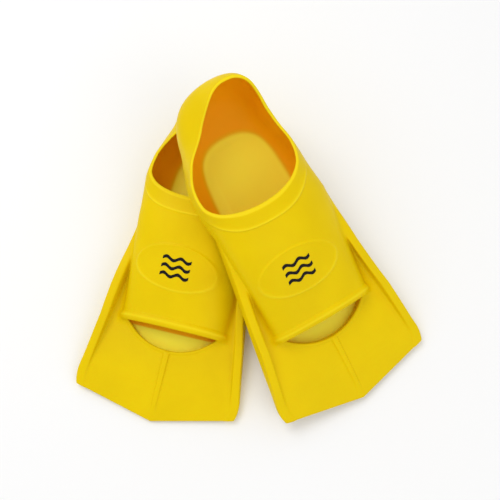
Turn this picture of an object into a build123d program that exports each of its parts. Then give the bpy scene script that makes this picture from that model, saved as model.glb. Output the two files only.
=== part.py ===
from build123d import *
import os

# A pair of short closed-heel training fins, both the same shape. The blade is left-right symmetric,
# and the soft foot pocket leans: its heel rim to the right, the front of its opening to the left.
# Each fin is drawn in its own frame: X across, Y pointing from the toe back to the heel, Z up,
# with the back of the heel at Y = 0. "Station" is the distance from the back of the heel to the toe.

# Plan of one fin
fin_length = 347
blade_half_width = 86
shoulder_station = 125
shoulder_half_width = 57
corner_station = 327
corner_half_width = 84.5
widest_station = 312
rail_width = 9

# Foot pocket
wall = 3
footbed_thickness = 5
heel_station = 36
collar_front_station = 130
lip_start_station = 240
mouth_station = 252
opening_arc_depth = 21
opening_half_width = 46
arc_lip_width = 4.5
sole_overlap = 5

# Oval badge on the instep
badge_station = 193
badge_across = -8
badge_half_length = 43
badge_half_width = 22
badge_height = 1.2
badge_lowest = 15

# Generic printed mark on the badge: three short waves
print_height = 0.3
wave_stations = (185, 193, 201)
wave_half_length = 15
wave_swing = 1.6
wave_width = 3.2

# Middle rib of the blade
rib_start_station = 292
rib_end_station = 340
rib_root_width = 6.5
rib_tip_width = 4.5

# Blade hinge line, where the silicone bends
hinge_station = 286
hinge_height = 9.2
rail_radius = 9
web_radius = 3
hinge_clearance = 0.3

# Where the two fins lie
pivot_station = 160
left_place = (-60.2, 12.2, 0)
left_yaw = -13.3
right_place = (27.9, 13.1, 48.6)
right_yaw = 29.4
right_pitch = 14.1
right_roll = 5.5

far = 500


def cross_plane(station):
    """A plane across the fin at this station, with its own X across and its own Y up."""
    return Plane(origin=(0, -station, 0), x_dir=(1, 0, 0), z_dir=(0, -1, 0))


def edge_at(station):
    """Half the fin's width at this station, on the straight edge."""
    run = (station - shoulder_station) / (widest_station - shoulder_station)
    return shoulder_half_width + run * (blade_half_width - shoulder_half_width)


def tip_line_at(across):
    """Station of the chevron tip at this distance from the middle."""
    return fin_length - abs(across) * (fin_length - corner_station) / corner_half_width


def dome(sections):
    """A closed domed body through cross sections of (station, half width, base, crown, lean)."""
    with BuildPart() as body:
        for station, half, base, crown, lean in sections:
            foot = 0.68 * half
            belly = base + 0.40 * (crown - base)
            shoulder = base + 0.80 * (crown - base)
            with BuildSketch(cross_plane(station)):
                with BuildLine():
                    Line((-foot, base), (foot, base))
                    Spline(
                        (foot, base),
                        (half + 0.3 * lean, belly),
                        (0.80 * half + 0.9 * lean, shoulder),
                        (lean, crown),
                        (-0.80 * half + 0.9 * lean, shoulder),
                        (-half + 0.3 * lean, belly),
                        (-foot, base),
                    )
                make_face()
        loft()
    return body.part


def side_profile(points, curved):
    """A block right across the fin, above a line of (station, height) points."""
    places = [(-station, height) for station, height in points]
    with BuildPart() as block:
        with BuildSketch(Plane.YZ):
            with BuildLine():
                if curved:
                    Spline(*places)
                else:
                    Polyline(*places)
                Polyline(places[-1], (places[-1][0], far), (places[0][0], far), places[0])
            make_face()
        extrude(amount=far / 2, both=True)
    return block.part


def slab(first, last):
    """A block right across the fin between two stations."""
    with BuildPart() as block:
        with BuildSketch(Plane.XY.offset(-far / 2)):
            with Locations((0, -(first + last) / 2)):
                Rectangle(far, last - first)
        extrude(amount=far)
    return block.part


def across_cylinder(radius, inner, outer):
    """A round bar about the hinge line, from one distance across to another."""
    plane = Plane(origin=(inner, -hinge_station, hinge_height), x_dir=(0, 1, 0), z_dir=(1, 0, 0))
    with BuildPart() as bar:
        with BuildSketch(plane):
            Circle(radius)
        extrude(amount=outer - inner)
    return bar.part


# Master shapes of the foot pocket
outer_sections = [
    (0, 21, 49, 84, 9),
    (heel_station + 2, 42, 0, 84, 0),
    (80, 57, 0, 76, -10),
    (collar_front_station, 60, 0, 68, -13),
    (190, 58, 0, 52, -8),
    (mouth_station, 55, 0, 31, 0),
]
inner_sections = []
for station, half, base, crown, lean in outer_sections:
    inner_base = max(base + wall, footbed_thickness)
    inner_sections.append((station + wall, half - wall, inner_base, crown - wall, lean))

rim_line = [(-5, 82), (10, 78), (34, 64), (58, 56), (80, 54), (104, 57), (122, 63.5), (142, 78)]
ridge_line = [(-5, 66), (12, 60), (36, 48), (60, 41), (84, 39), (112, 43), (138, 54), (160, 74)]
above_rim = side_profile(rim_line, curved=True)
above_ridge = side_profile(ridge_line, curved=True)
opening_radius = (opening_half_width**2 + opening_arc_depth**2) / (2 * opening_arc_depth)
opening_centre = mouth_station + opening_arc_depth - opening_radius

with BuildPart() as below_floor:
    with BuildSketch(Plane.XY.offset(-far)):
        Rectangle(3 * far, 3 * far)
    extrude(amount=far)

with BuildPart() as footbed_layer:
    with BuildSketch(Plane.XY.offset(-far)):
        Rectangle(3 * far, 3 * far)
    extrude(amount=far + footbed_thickness)

with BuildPart() as outer_pocket:
    add(dome(outer_sections))
    add(below_floor.part, mode=Mode.SUBTRACT)

with BuildPart() as pocket_shell:
    add(outer_pocket.part)
    add(dome(inner_sections), mode=Mode.SUBTRACT)
    add(footbed_layer.part, mode=Mode.SUBTRACT)
    add(above_rim, mode=Mode.SUBTRACT)

with BuildPart() as below_ridge_shell:
    add(pocket_shell.part)
    add(above_ridge, mode=Mode.SUBTRACT)


def shell_zone(first, last):
    """The pocket's wall below the ridge line, between two stations."""
    with BuildPart() as zone:
        add(below_ridge_shell.part)
        add(slab(first, last), mode=Mode.INTERSECT)
    return zone.part


def opening_disc(extra, bottom, top):
    """An upright disc whose front edge is the arc of the toe opening, moved out by extra."""
    with BuildPart() as disc:
        with BuildSketch(Plane.XY.offset(bottom)):
            with Locations((0, -opening_centre)):
                Circle(opening_radius + extra)
        extrude(amount=top - bottom)
    return disc.part


def plan_block(points, bottom=-10, top=60):
    """An upright block over a plan outline of (across, station) points."""
    with BuildPart() as block:
        with BuildSketch(Plane.XY.offset(bottom)):
            with BuildLine():
                Polyline(*[(across, -station) for across, station in points], close=True)
            make_face()
        extrude(amount=top - bottom)
    return block.part


# Foot pocket
with BuildPart() as toe_end:
    add(opening_disc(sole_overlap, 0, footbed_thickness))
    add(slab(mouth_station - 10, fin_length), mode=Mode.INTERSECT)

with BuildPart() as footbed:
    add(outer_pocket.part)
    add(footbed_layer.part, mode=Mode.INTERSECT)
    add(toe_end.part)

with BuildPart() as heel_cup:
    add(shell_zone(-10, 70))

with BuildPart() as side_walls:
    add(shell_zone(70, collar_front_station))

with BuildPart() as side_wall_left:
    add(side_walls.part)
    with BuildSketch(Plane.XY.offset(-10)):
        with Locations((-far / 2, 0)):
            Rectangle(far, 2 * far)
    extrude(amount=far, mode=Mode.INTERSECT)

with BuildPart() as side_wall_right:
    add(side_walls.part)
    with BuildSketch(Plane.XY.offset(-10)):
        with Locations((far / 2, 0)):
            Rectangle(far, 2 * far)
    extrude(amount=far, mode=Mode.INTERSECT)

with BuildPart() as instep:
    add(shell_zone(collar_front_station, lip_start_station))

with BuildPart() as toe_lip:
    add(shell_zone(lip_start_station, mouth_station))

with BuildPart() as collar:
    add(pocket_shell.part)
    add(above_ridge, mode=Mode.INTERSECT)


def raised_pocket(height):
    """The outside of the foot pocket, grown outwards by this height."""
    sections = []
    for station, half, base, crown, lean in outer_sections:
        sections.append((station, half + height, base, crown + height, lean))
    return dome(sections)


with BuildPart() as badge:
    add(raised_pocket(badge_height))
    with BuildSketch(Plane.XY.offset(badge_lowest)):
        with Locations((badge_across, -badge_station)):
            Ellipse(badge_half_length, badge_half_width)
    extrude(amount=far, mode=Mode.INTERSECT)
    add(outer_pocket.part, mode=Mode.SUBTRACT)


def wave_edge(station):
    """Points of a wavy line across the badge, from left to right."""
    swings = (0, -1, 0, 1, 0, -1, 0, 1, 0)
    first = badge_across - wave_half_length
    step = 2 * wave_half_length / (len(swings) - 1)
    return [(first + i * step, -station + wave_swing * swing) for i, swing in enumerate(swings)]


with BuildPart() as waves:
    with BuildSketch(Plane.XY.offset(badge_lowest)):
        for station in wave_stations:
            near = wave_edge(station - wave_width / 2)
            away = wave_edge(station + wave_width / 2)
            with BuildLine():
                Spline(*near)
                Line(near[-1], away[-1])
                Spline(*reversed(away))
                Line(away[0], near[0])
            make_face()
    extrude(amount=far)

with BuildPart() as print_mark:
    add(raised_pocket(badge_height + print_height))
    add(waves.part, mode=Mode.INTERSECT)
    add(raised_pocket(badge_height), mode=Mode.SUBTRACT)

# Side profiles of the blade and the rails, as blocks above a line
web_top = [(100, 15.2), (250, 13.2), (hinge_station, hinge_height + web_radius), (fin_length, 5.3)]
web_bottom = [(100, 5), (276, 5), (hinge_station, hinge_height - web_radius), (fin_length, 2.3)]
rail_top = [
    (shoulder_station - 20, 22),
    (190, 31),
    (250, 25),
    (hinge_station, hinge_height + rail_radius),
    (corner_station, 8.5),
    (fin_length, 6),
]
rail_bottom = [(0, 0.2), (fin_length, 0.2)]
arc_lip_top = [(0, 15.6), (fin_length, 13.2)]
rib_top = [(250, 18.5), (rib_end_station + 2, 5.6)]


def layer(top, bottom):
    """What lies between two side profiles."""
    with BuildPart() as between:
        add(side_profile(bottom, curved=False))
        add(side_profile(top, curved=False), mode=Mode.SUBTRACT)
    return between.part


web_layer = layer(web_top, web_bottom)
rail_layer = layer(rail_top, rail_bottom)
rail_start_station = shoulder_station + 10
root_start_station = 202


def mirrored_outline(points):
    """A closed plan outline from its right half, listed from front to back."""
    return points + [(-across, station) for across, station in reversed(points)]


def inner_edge_at(station):
    """Half the width between the two rails at this station."""
    return edge_at(station) - rail_width


# Blade root: the part of the blade that stays with the foot pocket
root_outline = mirrored_outline(
    [
        (inner_edge_at(hinge_station), hinge_station),
        (inner_edge_at(root_start_station), root_start_station),
    ]
)
knuckle_half = inner_edge_at(hinge_station) - 0.1

with BuildPart() as blade_root:
    add(plan_block(root_outline))
    add(web_layer, mode=Mode.INTERSECT)
    add(outer_pocket.part, mode=Mode.SUBTRACT)
    add(opening_disc(0, -10, 60), mode=Mode.SUBTRACT)
    add(across_cylinder(web_radius + hinge_clearance, -far, far), mode=Mode.SUBTRACT)

with BuildPart() as toe_arc_lip:
    add(opening_disc(arc_lip_width, 0, far))
    add(opening_disc(0, 0, far), mode=Mode.SUBTRACT)
    add(slab(mouth_station + 1, fin_length), mode=Mode.INTERSECT)
    add(layer(arc_lip_top, web_top), mode=Mode.INTERSECT)


def rail_root(side):
    """A side rail from the collar to the hinge line, on the left (-1) or right (1)."""
    outline = [
        (side * edge_at(rail_start_station), rail_start_station),
        (side * edge_at(hinge_station), hinge_station),
        (side * inner_edge_at(hinge_station), hinge_station),
        (side * inner_edge_at(rail_start_station), rail_start_station),
    ]
    with BuildPart() as rail:
        add(plan_block(outline))
        add(rail_layer, mode=Mode.INTERSECT)
        add(outer_pocket.part, mode=Mode.SUBTRACT)
        add(across_cylinder(rail_radius + hinge_clearance, -far, far), mode=Mode.SUBTRACT)
    return rail.part


def blade_rail(side):
    """A side rail from the hinge line to the tip corner, on the left (-1) or right (1)."""
    corner_inside = corner_half_width - rail_width
    corner_outside = (side * corner_half_width, -corner_station)
    bend = (side * (blade_half_width + 0.3), -(corner_station - 6))
    with BuildPart() as rail:
        with BuildSketch(Plane.XY.offset(-10)):
            with BuildLine():
                Line((side * edge_at(hinge_station), -hinge_station), (side * blade_half_width, -widest_station))
                ThreePointArc((side * blade_half_width, -widest_station), bend, corner_outside)
                Polyline(
                    corner_outside,
                    (side * corner_inside, -tip_line_at(corner_inside)),
                    (side * inner_edge_at(hinge_station), -hinge_station),
                    (side * edge_at(hinge_station), -hinge_station),
                )
            make_face()
        extrude(amount=70)
        add(rail_layer, mode=Mode.INTERSECT)
        inner = inner_edge_at(hinge_station)
        outer = edge_at(hinge_station)
        add(across_cylinder(rail_radius, min(side * inner, side * outer), max(side * inner, side * outer)))
    return rail.part


web_outline = mirrored_outline(
    [
        (corner_half_width - rail_width, tip_line_at(corner_half_width - rail_width)),
        (inner_edge_at(hinge_station), hinge_station),
    ]
)
web_outline.append((0, fin_length))

with BuildPart() as blade_web:
    add(plan_block(web_outline))
    add(web_layer, mode=Mode.INTERSECT)
    add(across_cylinder(rail_radius, knuckle_half, far), mode=Mode.SUBTRACT)
    add(across_cylinder(rail_radius, -far, -knuckle_half), mode=Mode.SUBTRACT)
    add(across_cylinder(web_radius, -knuckle_half, knuckle_half))

with BuildPart() as blade_rib:
    with BuildSketch(Plane.XY):
        with BuildLine():
            Polyline(
                (-rib_root_width / 2, -rib_start_station),
                (rib_root_width / 2, -rib_start_station),
                (rib_tip_width / 2, -rib_end_station),
                (-rib_tip_width / 2, -rib_end_station),
                close=True,
            )
        make_face()
    extrude(amount=60)
    add(layer(rib_top, web_top), mode=Mode.INTERSECT)

pieces = {
    "footbed": footbed.part,
    "heel_cup": heel_cup.part,
    "side_wall_left": side_wall_left.part,
    "side_wall_right": side_wall_right.part,
    "instep": instep.part,
    "collar": collar.part,
    "toe_lip": toe_lip.part,
    "badge": badge.part,
    "print_mark": print_mark.part,
    "blade_root": blade_root.part,
    "toe_arc_lip": toe_arc_lip.part,
    "rail_root_left": rail_root(-1),
    "rail_root_right": rail_root(1),
    "blade_web": blade_web.part,
    "blade_rib": blade_rib.part,
    "blade_rail_left": blade_rail(-1),
    "blade_rail_right": blade_rail(1),
}

# The two fins: the left one lies flat, the right one rests across the left one's collar
fins = {
    "left": Pos(*left_place) * Rot(0, 0, left_yaw) * Pos(0, pivot_station, 0),
    "right": Pos(*right_place)
    * Rot(0, 0, right_yaw)
    * Rot(right_pitch, 0, 0)
    * Rot(0, right_roll, 0)
    * Pos(0, pivot_station, 0),
}

os.makedirs("parts", exist_ok=True)
for side, place in fins.items():
    for name, piece in pieces.items():
        with BuildPart() as placed:
            add(piece.moved(place))
        placed.part.label = f"{side}_{name}"
        export_step(placed.part, f"parts/{side}_{name}.step")
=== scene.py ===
"""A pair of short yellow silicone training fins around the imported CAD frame.

Each fin is one moulding, so its skin is one piece. The skin is worked out as a smooth solid field in
the fin's own frame (millimetres: X across, S from the back of the heel to the tip, Z up), turned into
a mesh, leaned to the side that its soft pocket sags to, and laid where the CAD says. Both fins start
from the same mesh."""

import math

import bpy
import numpy as np
import openvdb
from mathutils import Matrix, Vector
from mathutils.bvhtree import BVHTree


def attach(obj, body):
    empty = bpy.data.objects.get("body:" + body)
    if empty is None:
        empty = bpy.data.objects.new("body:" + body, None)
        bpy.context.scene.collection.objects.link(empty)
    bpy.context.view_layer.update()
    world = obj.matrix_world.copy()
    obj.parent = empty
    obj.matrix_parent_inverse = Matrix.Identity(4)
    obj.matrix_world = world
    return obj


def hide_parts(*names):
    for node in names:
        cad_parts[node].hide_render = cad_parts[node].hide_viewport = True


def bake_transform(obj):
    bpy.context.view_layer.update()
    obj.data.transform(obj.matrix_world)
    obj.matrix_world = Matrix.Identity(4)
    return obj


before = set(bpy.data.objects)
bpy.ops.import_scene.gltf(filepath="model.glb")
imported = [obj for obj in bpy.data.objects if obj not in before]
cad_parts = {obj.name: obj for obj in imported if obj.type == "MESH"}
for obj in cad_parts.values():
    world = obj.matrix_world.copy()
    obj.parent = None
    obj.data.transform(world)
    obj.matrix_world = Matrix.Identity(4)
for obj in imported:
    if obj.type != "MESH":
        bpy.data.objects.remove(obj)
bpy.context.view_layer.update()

MM = 0.001
VOXEL = 0.8
TRIANGLES = 150_000
MIRROR_SKIP = 4  # grid lines left of the middle plane, which mirror the ones right of it

# Sizes of one fin in millimetres. A name that ends in _S is a station, measured from the heel.
LENGTH = 347.0
HALF_WIDTH = 86.0
SHOULDER_S = 125.0
SHOULDER_HALF = 57.0
WIDEST_S = 312.0
CORNER_S = 327.0
CORNER_HALF = 84.5
CORNER_ROUNDING_RUN = 4.0
CORNER_ROUNDING = 0.0125
HINGE_S = 286.0
PIVOT_S = 160.0
WALL = 3.0
FOOTBED = 5.0

# Toe opening: a straight lip over it and an arc in front of it
LIP_S = 243.5
LIP_BEAD_RUN = 3.5
MOUTH_S = 252.0
ARC_DEPTH = 21.0
ARC_HALF = 46.0
ARC_RADIUS = (ARC_HALF**2 + ARC_DEPTH**2) / (2 * ARC_DEPTH)
ARC_CENTRE_S = MOUTH_S + ARC_DEPTH - ARC_RADIUS
ARC_LIP_OUT = 1.6
ARC_LIP_SUNK = 0.3
ARC_LIP_RADIUS = 1.7
WELL_TOP = 18.0

# Side rails, middle rib, badge and tread
RAIL_WIDTH = 9.0
RAIL_ROUND = 1.7
RAIL_BASE = 0.2
RAIL_TAPER = 0.25
RAIL_TAPER_S = (300, 345)
RAIL_START_S = SHOULDER_S - 8
WEB_START_S = 140.0
RIB_START_S = 275.0
RIB_END_S = 341.0
BADGE_S = 193.0
BADGE_X = -8.0
BADGE_HALF_LENGTH = 43.0
BADGE_HALF_WIDTH = 22.0
TREAD_PITCH = 11.0
TREAD_SKEW = 0.12
TREAD_HALF = 1.1
TREAD_DEPTH = 1.0
TREAD_REACH_X = 30.0
TREAD_REACH_S = (60, 240)

# How far each raised detail stands out of the pocket
BADGE_HEIGHT = 0.8
BADGE_LINE_HEIGHT = 0.55
COLLAR_HEIGHT = 0.5
RIDGE_HEIGHT = 0.8
LIP_HEIGHT = 1.2
LIP_BEAD_HEIGHT = 0.6

# Fillets between the parts of the fin, and how round their edges are
WEB_FILLET = 6.0
RAIL_FILLET = 3.0
TOE_FLOOR_FILLET = 1.5
ARC_LIP_FILLET = 1.2
RIB_FILLET = 1.6
SOLE_ROUND = 2.5
MOUTH_ROUND = 3.0
CAVITY_ROUND = 2.0
WELL_ROUND = 2.0
RIM_ROUND = 1.3
PLAN_ROUND = 1.5
TIP_ROUND = 1.2
TREAD_ROUND = 0.8
UNDERSIDE_ROUND = 0.6

# Curves along one fin, as (station, value) points
POCKET_HALF = [
    (0, 44.5), (38, 46), (60, 52), (80, 58), (105, 60.5), (130, 61), (190, 58), (252, 55), (300, 53),
]
POCKET_BELLY = [(0, 34), (60, 31), (130, 27), (190, 21), (252, 12.5), (300, 8)]
POCKET_CROWN = [
    (0, 128), (50, 110), (70, 95), (82, 92), (98, 82), (110, 72), (120, 67.8), (140, 65), (160, 60.5),
    (190, 52), (240, 35), (252, 31.5), (300, 20),
]
POCKET_TOP = [(0, 84), (80, 76), (130, 68), (190, 52), (252, 31)]
RIM = [
    (-5, 83), (10, 80), (34, 66), (58, 57), (80, 54.5), (100, 57.5), (110, 60.5), (118, 64.5),
    (126, 69), (170, 110),
]
RIDGE = [(60, 40), (84, 41), (105, 47), (118, 54), (128, 60), (137, 65.5), (150, 76), (190, 110)]
WEB_TOP = [
    (120, 24), (172, 28), (190, 25), (212, 17), (240, 13.6), (HINGE_S, 12.2), (LENGTH, 5.3),
]
WEB_BOTTOM = [
    (120, 13), (172, 17), (190, 14), (212, 7), (240, 5), (276, 5), (HINGE_S, 6.2), (LENGTH, 2.3),
]
RAIL_TOP = [
    (105, 20), (125, 26), (150, 30), (190, 31), (250, 25), (HINGE_S, 18.2), (CORNER_S, 8.2),
    (LENGTH, 5.8),
]
RIB_HALF = [(270, 3.1), (340, 2.0)]
RIB_RISE = [(268, 1.2), (276, 2.2), (330, 1.5), (341, -0.8)]

# Station of the back of the heel at each height, as (height, station) points
HEEL_BACK = [(0, 37), (5, 32), (12, 19), (25, 4), (42, -5), (58, -6), (72, -4), (84, 1)]

# How far the soft pocket leans to the right, at its belly and at its rim
BELLY_LEAN = [(0, -5), (70, -6), (100, -5), (135, 0)]
RIM_LEAN = {
    "left": [
        (0, 13), (22, 13), (36, 12), (45, 9), (60, 4), (82, -2), (110, -10), (130, -12), (190, -8),
        (252, 0),
    ],
    "right": [
        (0, 9), (22, 6.5), (36, 4), (45, 0.5), (60, -7.5), (82, -12), (110, -15), (130, -13.5),
        (190, -8), (252, 0),
    ],
}

# Roundness of the foot pocket, as the powers of a superellipse
SIDE_POWER = 2.3
CROWN_POWER = 2.3
SOLE_POWER = 2.2
HEEL_POWER = 2.8
SOLE_DROP = 1.12
HEEL_RUN_S = 52.0
HEEL_RUN_AT_SOLE = 20.0
RIM_PULL_IN = 0.29

# The printed waves on the badge
WAVE_STATIONS = (185.0, 193.0, 201.0)
WAVE_HALF_LENGTH = 15.0
WAVE_SWING = 1.6
WAVE_WIDTH = 3.2
WAVE_COLUMNS = 61
WAVE_ROWS = 6
PRINT_HEIGHT = 0.25
ABOVE_THE_FIN = 100.0

# Where the two fins lie, as in the CAD model
PLACES = {
    "left": {"at": (-60.2, 12.2, 0.0), "yaw": -13.3, "pitch": 0.0, "roll": 0.0},
    "right": {"at": (27.9, 13.1, 48.6), "yaw": 29.4, "pitch": 14.1, "roll": 5.5},
}


# ---------------------------------------------------------------- field helpers


def smooth_min(a, b, radius):
    """Union of two fields with a fillet of about this radius."""
    h = np.clip(0.5 + 0.5 * (b - a) / radius, 0, 1)
    return b * (1 - h) + a * h - radius * h * (1 - h)


def smooth_max(a, b, radius):
    """Intersection of two fields with an edge rounded by about this radius."""
    return -smooth_min(-a, -b, radius)


def smooth_step(low, high, value):
    """From 0 at low to 1 at high. Low may be the larger of the two."""
    t = np.clip((value - low) / (high - low), 0, 1)
    return t * t * (3 - 2 * t)


def bead(distance, width):
    """1 on a line, fading to nothing a little more than this width away from it."""
    return np.exp(-((distance / width) ** 2))


def along(curve, s):
    """A smooth curve through (station, value) points, by a monotone cubic."""
    x, y = np.array(curve, float).T
    h = np.diff(x)
    slope = np.diff(y) / h
    m = np.zeros_like(y)
    m[0], m[-1] = slope[0], slope[-1]
    for i in range(1, len(x) - 1):
        if slope[i - 1] * slope[i] > 0:
            w1 = 2 * h[i] + h[i - 1]
            w2 = h[i] + 2 * h[i - 1]
            m[i] = (w1 + w2) / (w1 / slope[i - 1] + w2 / slope[i])
    s = np.clip(s, x[0], x[-1])
    k = np.clip(np.searchsorted(x, s, side="right") - 1, 0, len(x) - 2)
    t = (s - x[k]) / h[k]
    return (
        y[k] * (1 + 2 * t) * (1 - t) ** 2
        + m[k] * h[k] * t * (1 - t) ** 2
        + y[k + 1] * t * t * (3 - 2 * t)
        + m[k + 1] * h[k] * t * t * (t - 1)
    )


def as_distance(field, step):
    """A field scaled to be about a distance in millimetres near its surface."""
    gx, gs, gz = np.gradient(field, step)
    return field / np.maximum(np.sqrt(gx * gx + gs * gs + gz * gz), 1e-4)


# ---------------------------------------------------------------- shapes of one fin


def edge_at(s):
    """Half the width of the fin's plan outline, which turns in near the corners of the blade."""
    run = (s - SHOULDER_S) / (WIDEST_S - SHOULDER_S)
    straight = SHOULDER_HALF + run * (HALF_WIDTH - SHOULDER_HALF)
    past = np.maximum(s - (WIDEST_S - CORNER_ROUNDING_RUN), 0)
    return straight - CORNER_ROUNDING * past**2


def lean_at(s, z, side):
    """How far a fin's soft pocket leans to the right at this height."""
    top = along(POCKET_TOP, s)
    belly_lean = along(BELLY_LEAN, s)
    rim_lean = along(RIM_LEAN[side], s)
    towards_rim = smooth_step(0.42, 1.0, z / top)
    return belly_lean * smooth_step(5, 28, z) + (rim_lean - belly_lean) * towards_rim


def pocket_field(X, S, Z):
    """The outside of the domed foot pocket, before it leans. It is negative inside."""
    crown = along(POCKET_CROWN, S)
    belly = along(POCKET_BELLY, S)
    heel_zone = 1 - smooth_step(35, 75, S)
    lean_in = RIM_PULL_IN * smooth_step(44, 80, Z) * heel_zone
    half = along(POCKET_HALF, S) * (1 - lean_in)
    upper = np.maximum(Z - belly, 0) / (crown - belly)
    lower = np.maximum(belly - Z, 0) / (belly * SOLE_DROP)
    back = along(HEEL_BACK, Z)
    middle = HEEL_RUN_S + HEEL_RUN_AT_SOLE * (1 - smooth_step(0, 30, Z))
    heel = np.maximum(middle - S, 0) / (middle - back)
    return (
        (X / half) ** SIDE_POWER + upper**CROWN_POWER + lower**SOLE_POWER + heel**HEEL_POWER - 1
    )


def badge_edge(X, S):
    """Distance outwards from the edge of the oval badge."""
    oval = np.sqrt((X / BADGE_HALF_LENGTH) ** 2 + ((S - BADGE_S) / BADGE_HALF_WIDTH) ** 2)
    return (oval - 1) * BADGE_HALF_WIDTH


def raised_detail(X, S, Z):
    """How far the badge, the collar, its ridge and the toe lip stand out of the pocket."""
    oval_edge = badge_edge(X, S)
    on_top = smooth_step(15, 25, Z)
    relief = BADGE_HEIGHT * smooth_step(0.8, -0.8, oval_edge) * on_top
    relief += BADGE_LINE_HEIGHT * bead(oval_edge, 1.1) * on_top
    to_ridge = Z - along(RIDGE, S)
    collar_band = smooth_step(-1.6, 0.6, to_ridge) * smooth_step(SHOULDER_S - 35, SHOULDER_S + 5, S)
    relief += COLLAR_HEIGHT * collar_band
    ridge_zone = smooth_step(SHOULDER_S - 25, SHOULDER_S + 5, S)
    relief += RIDGE_HEIGHT * bead(to_ridge, 1.3) * ridge_zone
    lip_band = smooth_step(LIP_S - 1.5, LIP_S + 1, S)
    relief += LIP_HEIGHT * lip_band + LIP_BEAD_HEIGHT * bead(S - LIP_S - LIP_BEAD_RUN, 2.2)
    return relief


def blade_web(S, Z, plan):
    """The flat web, which rises to the rails beside the foot pocket."""
    web = np.maximum(Z - along(WEB_TOP, S), along(WEB_BOTTOM, S) - Z)
    web = smooth_max(web, plan, PLAN_ROUND)
    return smooth_max(web, WEB_START_S - S, 6.0)


def side_rail(S, Z, beyond_edge, plan):
    """A round-topped bar along each side."""
    rail_middle = beyond_edge + RAIL_WIDTH / 2
    top = along(RAIL_TOP, S)
    taper = 1 - RAIL_TAPER * smooth_step(*RAIL_TAPER_S, S)
    half = RAIL_WIDTH / 2 * taper
    dx = np.abs(rail_middle) - (half - RAIL_ROUND)
    dz = np.maximum(Z - (top - RAIL_ROUND), RAIL_ROUND + RAIL_BASE - Z)
    rail = np.sqrt(np.maximum(dx, 0) ** 2 + np.maximum(dz, 0) ** 2)
    rail += np.minimum(np.maximum(dx, dz), 0) - RAIL_ROUND
    rail = smooth_max(rail, plan, PLAN_ROUND)
    return smooth_max(rail, RAIL_START_S - S, 8.0)


def middle_rib(X, S, Z):
    """The low rib down the middle of the blade."""
    rib_half = np.interp(S, *zip(*RIB_HALF))
    rib_rise = np.interp(S, *zip(*RIB_RISE))
    rib = np.maximum(X - rib_half, Z - along(WEB_TOP, S) - rib_rise)
    rib = smooth_max(rib, along(WEB_BOTTOM, S) - Z, 1.0)
    return smooth_max(rib, np.maximum(RIB_START_S - S, S - RIB_END_S), 2.0)


def sole_tread(X, S, Z):
    """Shallow grooves across the sole."""
    from_groove = np.abs((S + TREAD_SKEW * X) % TREAD_PITCH - TREAD_PITCH / 2)
    tread = np.maximum(from_groove - TREAD_HALF, Z - TREAD_DEPTH)
    ends = np.maximum(TREAD_REACH_S[0] - S, S - TREAD_REACH_S[1])
    return smooth_max(tread, np.maximum(X - TREAD_REACH_X, ends), 2.0)


def fin_field(step):
    """One whole fin before its pocket leans, on a grid. It is negative inside the silicone."""
    x = np.arange(-MIRROR_SKIP * step, HALF_WIDTH + 5, step)
    s = np.arange(-12, LENGTH + 6, step)
    z = np.arange(-4, 95, step)
    X, S, Z = np.meshgrid(x, s, z, indexing="ij")
    X = np.abs(X)

    # The foot pocket as a shell, open at the rim and at the toe
    outer = as_distance(pocket_field(X, S, Z), step)
    pocket = smooth_max(outer - raised_detail(X, S, Z), -Z, SOLE_ROUND)
    pocket = smooth_max(pocket, S - MOUTH_S, MOUTH_ROUND)
    from_arc = np.sqrt(X**2 + (S - ARC_CENTRE_S) ** 2) - ARC_RADIUS
    cavity = smooth_max(outer + WALL, FOOTBED - Z, 3.0)
    cavity = smooth_max(cavity, np.minimum(S - (MOUTH_S - 2), from_arc), 1.0)
    rim_slope = np.gradient(along(RIM, s), step)[None, :, None]
    above_rim = (Z - along(RIM, S)) / np.sqrt(1 + rim_slope**2)

    # Plan outline of the whole fin, with its chevron tip
    edge_slope = (HALF_WIDTH - SHOULDER_HALF) / (WIDEST_S - SHOULDER_S)
    beyond_edge = (X - edge_at(S)) / math.sqrt(1 + edge_slope**2)
    chevron_slope = (LENGTH - CORNER_S) / CORNER_HALF
    beyond_tip = (S - (LENGTH - X * chevron_slope)) / math.sqrt(1 + chevron_slope**2)
    plan = smooth_max(beyond_edge, beyond_tip, PLAN_ROUND)

    # Footbed under the toes, the well above it, and the raised lip round the front of the well
    toe_floor = np.maximum(from_arc - 4.5, np.maximum(Z - FOOTBED, -Z))
    toe_floor = np.maximum(toe_floor, (MOUTH_S - 14) - S)
    toe_well = np.maximum(from_arc, FOOTBED - Z)
    toe_well = smooth_max(toe_well, (MOUTH_S - 8) - S, 1.0)
    toe_well = np.maximum(toe_well, Z - WELL_TOP)
    from_lip = (from_arc - ARC_LIP_OUT) ** 2 + (Z - along(WEB_TOP, S) + ARC_LIP_SUNK) ** 2
    arc_lip = np.sqrt(from_lip) - ARC_LIP_RADIUS
    arc_lip = np.maximum(arc_lip, MOUTH_S - 6 - S)

    body = smooth_min(pocket, blade_web(S, Z, plan), WEB_FILLET)
    body = smooth_min(body, side_rail(S, Z, beyond_edge, plan), RAIL_FILLET)
    body = smooth_min(body, toe_floor, TOE_FLOOR_FILLET)
    body = smooth_max(body, -toe_well, WELL_ROUND)
    body = smooth_max(body, -cavity, CAVITY_ROUND)
    body = smooth_max(body, above_rim, RIM_ROUND)
    body = smooth_min(body, arc_lip, ARC_LIP_FILLET)
    body = smooth_min(body, middle_rib(X, S, Z), RIB_FILLET)
    body = smooth_max(body, beyond_tip, TIP_ROUND)
    body = smooth_max(body, -sole_tread(X, S, Z), TREAD_ROUND)
    body = smooth_max(body, -Z, UNDERSIDE_ROUND)
    return body, (x[0], s[0], z[0])


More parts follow.
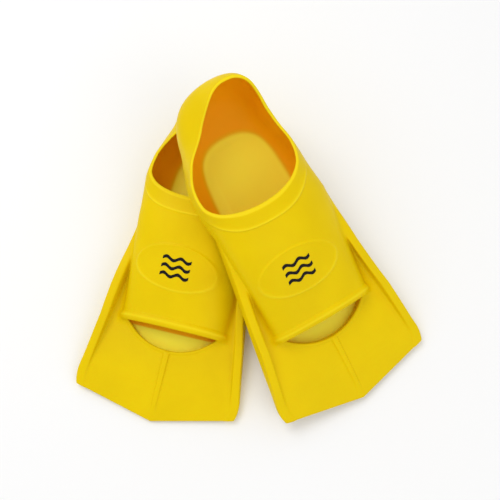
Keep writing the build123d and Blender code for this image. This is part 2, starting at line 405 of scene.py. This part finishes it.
def fin_mesh(step):
    """One fin's skin as points in millimetres (X across, -S, Z up) and quads."""
    body, origin = fin_field(step)
    right = body[MIRROR_SKIP:]
    full = np.concatenate([right[:0:-1], right], axis=0)
    band = 3 * step
    grid = openvdb.FloatGrid(band)
    grid.copyFromArray(np.clip(full, -band, band).astype(np.float32))
    points, quads = grid.convertToQuads(0.0)
    points = points * step
    points[:, 0] -= (right.shape[0] - 1) * step
    points[:, 1] = -(points[:, 1] + origin[1])
    points[:, 2] += origin[2]
    return points, quads


def mesh_points(mesh):
    """The mesh's vertices as rows of X, Y, Z."""
    points = np.empty(3 * len(mesh.vertices))
    mesh.vertices.foreach_get("co", points)
    return points.reshape(-1, 3)


def paint_zones(mesh):
    """Paints light and shade into a colour attribute: shade on the inner walls (red),
    light on the pocket floor (green) and highlights on the fine raised edges (blue).
    """
    x, y, z = mesh_points(mesh).T
    s = -y
    below_rim = along(RIM, s) - z
    inside = smooth_step(-0.05, -0.1, pocket_field(np.abs(x), s, z)) * (s < MOUTH_S)
    # Red: painted shade, the deeper orange of shade and bounce light on the inner walls of the pocket
    wall_shade = inside * smooth_step(0.5, 5.0, below_rim)
    wall_shade *= smooth_step(FOOTBED + 0.5, FOOTBED + 4.0, z)
    wall_shade *= smooth_step(MOUTH_S - 1, MOUTH_S - 6, s)

    # The floor is in shade under the toe lip, so it is as deep there as the walls
    from_arc = np.hypot(x, s - ARC_CENTRE_S) - ARC_RADIUS
    in_well = smooth_step(0.5, -1.5, from_arc) * (s > MOUTH_S - 20)
    floor_zone = np.maximum(inside, in_well)
    under_lip = smooth_step(MOUTH_S + 2.5, MOUTH_S + 1.0, s)
    under_lip *= smooth_step(MOUTH_S - 60, MOUTH_S - 30, s)
    wall_shade = np.maximum(wall_shade, floor_zone * under_lip * smooth_step(16, 12, z))
    # Green: painted light, a paler yellow where light falls on the pocket floor
    bed_light = floor_zone * smooth_step(FOOTBED + 2.5, FOOTBED + 0.8, z)
    bed_light *= smooth_step(2.5, 4.0, z) * (1 - under_lip)

    # Blue: painted highlights on the raised edges of the badge, the collar ridge, the rim and the toe
    # lip
    outside = (1 - inside) * (z > FOOTBED + 4)
    oval_highlight = bead(badge_edge(x, s), 0.8) * (z > 20)
    oval_highlight *= 0.08 + 0.4 * smooth_step(BADGE_S - 8, BADGE_S + 16, s)
    ridge_highlight = 0.6 * bead(z - along(RIDGE, s), 0.9)
    ridge_highlight *= smooth_step(SHOULDER_S - 25, SHOULDER_S + 5, s)
    rim_highlight = 0.45 * smooth_step(1.0, 0.3, below_rim) * (s < SHOULDER_S + 5) * (z > 40)
    lip_highlight = 0.4 * bead(s - LIP_S - LIP_BEAD_RUN, 1.2) * (z > 18) * (np.abs(x) < 58) * outside
    line_highlights = np.maximum(oval_highlight, ridge_highlight) * outside
    line_highlights = np.maximum(line_highlights, np.maximum(rim_highlight, lip_highlight))

    painted_light_shade = mesh.color_attributes.new(name="painted_light_shade", type="FLOAT_COLOR", domain="POINT")
    colours = np.stack([wall_shade, bed_light, line_highlights, np.ones_like(x)], axis=1)
    painted_light_shade.data.foreach_set("color", colours.ravel())


def lean_over(mesh, side):
    """Leans a fin's soft pocket to the side it sags to."""
    points = mesh_points(mesh)
    points[:, 0] += lean_at(-points[:, 1], points[:, 2], side)
    mesh.vertices.foreach_set("co", points.ravel())
    mesh.update()


def print_mark(skin_tree):
    """Three short waves lying on the badge, in a fin's own frame, each a thin closed strip."""
    points = []
    quads = []
    runs = np.linspace(-WAVE_HALF_LENGTH, WAVE_HALF_LENGTH, WAVE_COLUMNS)
    sides = np.linspace(-WAVE_WIDTH / 2, WAVE_WIDTH / 2, WAVE_ROWS)
    rows, columns = len(runs), len(sides)
    for station in WAVE_STATIONS:
        for lift in (-PRINT_HEIGHT, PRINT_HEIGHT):
            first = len(points)
            for run in runs:
                swing = -WAVE_SWING * math.sin(run / WAVE_HALF_LENGTH * 2 * math.pi)
                for aside in sides:
                    above = Vector((BADGE_X + run, -(station + aside) - swing, ABOVE_THE_FIN))
                    hit, _, _, _ = skin_tree.ray_cast(above, Vector((0, 0, -1)))
                    points.append(hit + Vector((0, 0, lift)))
            for i in range(rows - 1):
                for j in range(columns - 1):
                    corner = first + i * columns + j
                    face = [corner, corner + columns, corner + columns + 1, corner + 1]
                    quads.append(face[::-1] if lift > 0 else face)
        low = first - rows * columns
        border = list(range(columns))
        border += [i * columns + columns - 1 for i in range(1, rows)]
        border += [(rows - 1) * columns + j for j in range(columns - 2, -1, -1)]
        border += [i * columns for i in range(rows - 2, 0, -1)]
        for here, there in zip(border, border[1:] + border[:1]):
            quads.append([low + here, low + there, first + there, first + here])
    return np.array(points), np.array(quads)


def place_matrix(place):
    """From a fin's own frame in millimetres to the shared frame in metres."""
    turn = (
        Matrix.Rotation(math.radians(place["yaw"]), 4, "Z")
        @ Matrix.Rotation(math.radians(place["pitch"]), 4, "X")
        @ Matrix.Rotation(math.radians(place["roll"]), 4, "Y")
    )
    at = Matrix.Translation(Vector(place["at"]))
    return Matrix.Scale(MM, 4) @ at @ turn @ Matrix.Translation((0, PIVOT_S, 0))


def mesh_object(name, points, faces, material):
    mesh = bpy.data.meshes.new(name)
    mesh.from_pydata(points.tolist(), [], faces.tolist())
    mesh.validate()
    piece = bpy.data.objects.new(name, mesh)
    bpy.context.scene.collection.objects.link(piece)
    mesh.materials.append(material)
    return piece


def apply_modifiers(piece):
    evaluated = piece.evaluated_get(bpy.context.evaluated_depsgraph_get())
    mesh = bpy.data.meshes.new_from_object(evaluated)
    old = piece.data
    piece.modifiers.clear()
    piece.data = mesh
    bpy.data.meshes.remove(old)
    mesh.name = piece.name


# ---------------------------------------------------------------- materials


def new_material(name):
    material = bpy.data.materials.new(name)
    material.use_nodes = True
    nodes = material.node_tree.nodes
    return material, nodes, material.node_tree.links, nodes["Principled BSDF"]


def noise(nodes, links, place, scale, detail, roughness=0.5):
    """A noise texture in the piece's own coordinates."""
    texture = nodes.new("ShaderNodeTexNoise")
    texture.inputs["Scale"].default_value = scale
    texture.inputs["Detail"].default_value = detail
    texture.inputs["Roughness"].default_value = roughness
    links.new(place.outputs["Object"], texture.inputs["Vector"])
    return texture.outputs["Fac"]


def ramp(nodes, links, factor, low, high):
    """A colour between two (position, colour) ends."""
    colours = nodes.new("ShaderNodeValToRGB")
    for element, (position, colour) in zip(colours.color_ramp.elements, (low, high)):
        element.position = position
        element.color = (*colour, 1)
    links.new(factor, colours.inputs["Fac"])
    return colours.outputs["Color"]


def uneven_roughness(nodes, links, shader, factor, low, high):
    rough = nodes.new("ShaderNodeMapRange")
    rough.inputs["To Min"].default_value = low
    rough.inputs["To Max"].default_value = high
    links.new(factor, rough.inputs["Value"])
    links.new(rough.outputs["Result"], shader.inputs["Roughness"])


def silicone(name, light, deep, inner_wall_shade, footbed_light, raised_line_highlight):
    """Satin moulded silicone: faint orange-peel surface, soft mottling and a trace of handling marks.
    A colour attribute paints shade and bounce light as a deeper orange on the inner walls and under
    the toe lip, paints light as a paler yellow on the pocket floor and paints highlights along thin
    raised edges."""
    material, nodes, links, shader = new_material(name)
    place = nodes.new("ShaderNodeTexCoord")
    mottle = noise(nodes, links, place, scale=22, detail=3)
    base = ramp(nodes, links, mottle, (0.35, deep), (0.65, light))

    painted_light_shade = nodes.new("ShaderNodeAttribute")
    painted_light_shade.attribute_name = "painted_light_shade"
    zones = nodes.new("ShaderNodeSeparateColor")
    links.new(painted_light_shade.outputs["Color"], zones.inputs["Color"])
    # Red paints shade on the inner walls, green paints light on the pocket floor, blue paints
    # highlights
    zone_colours = (("Red", inner_wall_shade), ("Green", footbed_light), ("Blue", raised_line_highlight))
    for zone, zone_colour in zone_colours:
        mix = nodes.new("ShaderNodeMix")
        mix.data_type = "RGBA"
        links.new(zones.outputs[zone], mix.inputs[0])
        links.new(base, mix.inputs[6])
        mix.inputs[7].default_value = (*zone_colour, 1)
        base = mix.outputs[2]
    links.new(base, shader.inputs["Base Color"])

    marks = noise(nodes, links, place, scale=60, detail=5, roughness=0.7)
    uneven_roughness(nodes, links, shader, marks, 0.36, 0.52)

    grain = noise(nodes, links, place, scale=900, detail=2)
    bump = nodes.new("ShaderNodeBump")
    bump.inputs["Strength"].default_value = 0.12
    bump.inputs["Distance"].default_value = 0.0003
    links.new(grain, bump.inputs["Height"])
    links.new(bump.outputs["Normal"], shader.inputs["Normal"])

    shader.inputs["IOR"].default_value = 1.41
    shader.inputs["Specular IOR Level"].default_value = 0.09
    shader.inputs["Subsurface Weight"].default_value = 0.12
    shader.inputs["Subsurface Radius"].default_value = (1.0, 0.55, 0.05)
    shader.inputs["Subsurface Scale"].default_value = 0.003
    return material


def print_ink():
    """Matte black pad print with a slightly uneven film."""
    material, nodes, links, shader = new_material("black_print")
    place = nodes.new("ShaderNodeTexCoord")
    film = noise(nodes, links, place, scale=500, detail=4)
    shade = ramp(nodes, links, film, (0, (0.004, 0.003, 0.004)), (1, (0.012, 0.009, 0.011)))
    links.new(shade, shader.inputs["Base Color"])
    uneven_roughness(nodes, links, shader, film, 0.42, 0.62)
    shader.inputs["Specular IOR Level"].default_value = 0.12
    return material


def floor_material():
    material, _, _, shader = new_material("pale_floor")
    shader.inputs["Base Color"].default_value = (0.92, 0.92, 0.92, 1)
    shader.inputs["Roughness"].default_value = 0.9
    return material


# ---------------------------------------------------------------- the pair of fins

# Painted shade on the inner walls, painted light on the pocket floor, painted highlights on raised
# edges
yellow = silicone(
    "yellow_silicone",
    light=(0.80, 0.575, 0.0005),
    deep=(0.76, 0.54, 0.0005),
    inner_wall_shade=(0.94, 0.43, 0.002),
    footbed_light=(1.0, 0.90, 0.06),
    raised_line_highlight=(0.98, 0.80, 0.02),
)

ink = print_ink()

points, quads = fin_mesh(VOXEL)
fin = mesh_object("fin_skin", points, quads, yellow)
thin = fin.modifiers.new("thin", "DECIMATE")
thin.ratio = min(1.0, TRIANGLES / (2 * len(quads)))
apply_modifiers(fin)
for face in fin.data.polygons:
    face.use_smooth = True
paint_zones(fin.data)

for side, place in PLACES.items():
    skin = bpy.data.objects.new(side + "_fin_skin", fin.data.copy())
    bpy.context.scene.collection.objects.link(skin)
    lean_over(skin.data, side)
    skin_tree = BVHTree.FromObject(skin, bpy.context.evaluated_depsgraph_get())
    matrix = place_matrix(place)
    skin.data.transform(matrix)
    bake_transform(skin)
    mark_node = side + "_print_mark"
    own_nodes = [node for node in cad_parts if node.startswith(side + "_")]
    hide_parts(*[node for node in own_nodes if node != mark_node])

    points, quads = print_mark(skin_tree)
    mark = mesh_object(side + "_waves_print", points, quads, ink)
    mark.data.transform(matrix)
    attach(mark, side + "_fin")
    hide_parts(mark_node)
bpy.data.objects.remove(fin)

# ---------------------------------------------------------------- floor, light and camera

FLOOR_HALF = 3.0
SKY_STRENGTH = 0.75

corners = [(-1, -1, 0), (1, -1, 0), (1, 1, 0), (-1, 1, 0)]
floor_points = FLOOR_HALF * np.array(corners)
floor = mesh_object("floor", floor_points, np.array([(0, 1, 2, 3)]), floor_material())

world = bpy.data.worlds.new("studio")
world.use_nodes = True
sky = world.node_tree.nodes["Background"]
sky.inputs["Color"].default_value = (1, 1, 1, 1)
sky.inputs["Strength"].default_value = SKY_STRENGTH
bpy.context.scene.world = world
bpy.context.scene.view_settings.view_transform = "Standard"


def area_light(name, at, size, power):
    """A square soft light that faces the middle of the pair."""
    data = bpy.data.lights.new(name, "AREA")
    data.size = size
    data.energy = power
    light = bpy.data.objects.new(name, data)
    light.location = at
    light.rotation_euler = (-Vector(at)).to_track_quat("-Z", "Y").to_euler()
    bpy.context.scene.collection.objects.link(light)


area_light("key", at=(-0.6, 0.5, 1.5), size=0.9, power=9)
area_light("fill", at=(0.9, -0.9, 1.3), size=1.2, power=4)

# The camera looks down from in front of the blades
CAMERA_TARGET = Vector((0, 0.0127, 0))
CAMERA_ELEVATION = math.radians(76.94)
CAMERA_DISTANCE = 0.8
CAMERA_LENS = 52.7
CAMERA_SENSOR = 36
camera_data = bpy.data.cameras.new("camera")
camera_data.sensor_width = CAMERA_SENSOR
camera_data.lens = CAMERA_LENS
camera = bpy.data.objects.new("camera", camera_data)
back = Vector((0, -math.cos(CAMERA_ELEVATION), math.sin(CAMERA_ELEVATION)))
camera.location = CAMERA_TARGET + CAMERA_DISTANCE * back
camera.rotation_euler = (-back).to_track_quat("-Z", "Y").to_euler()
bpy.context.scene.collection.objects.link(camera)
bpy.context.scene.camera = camera
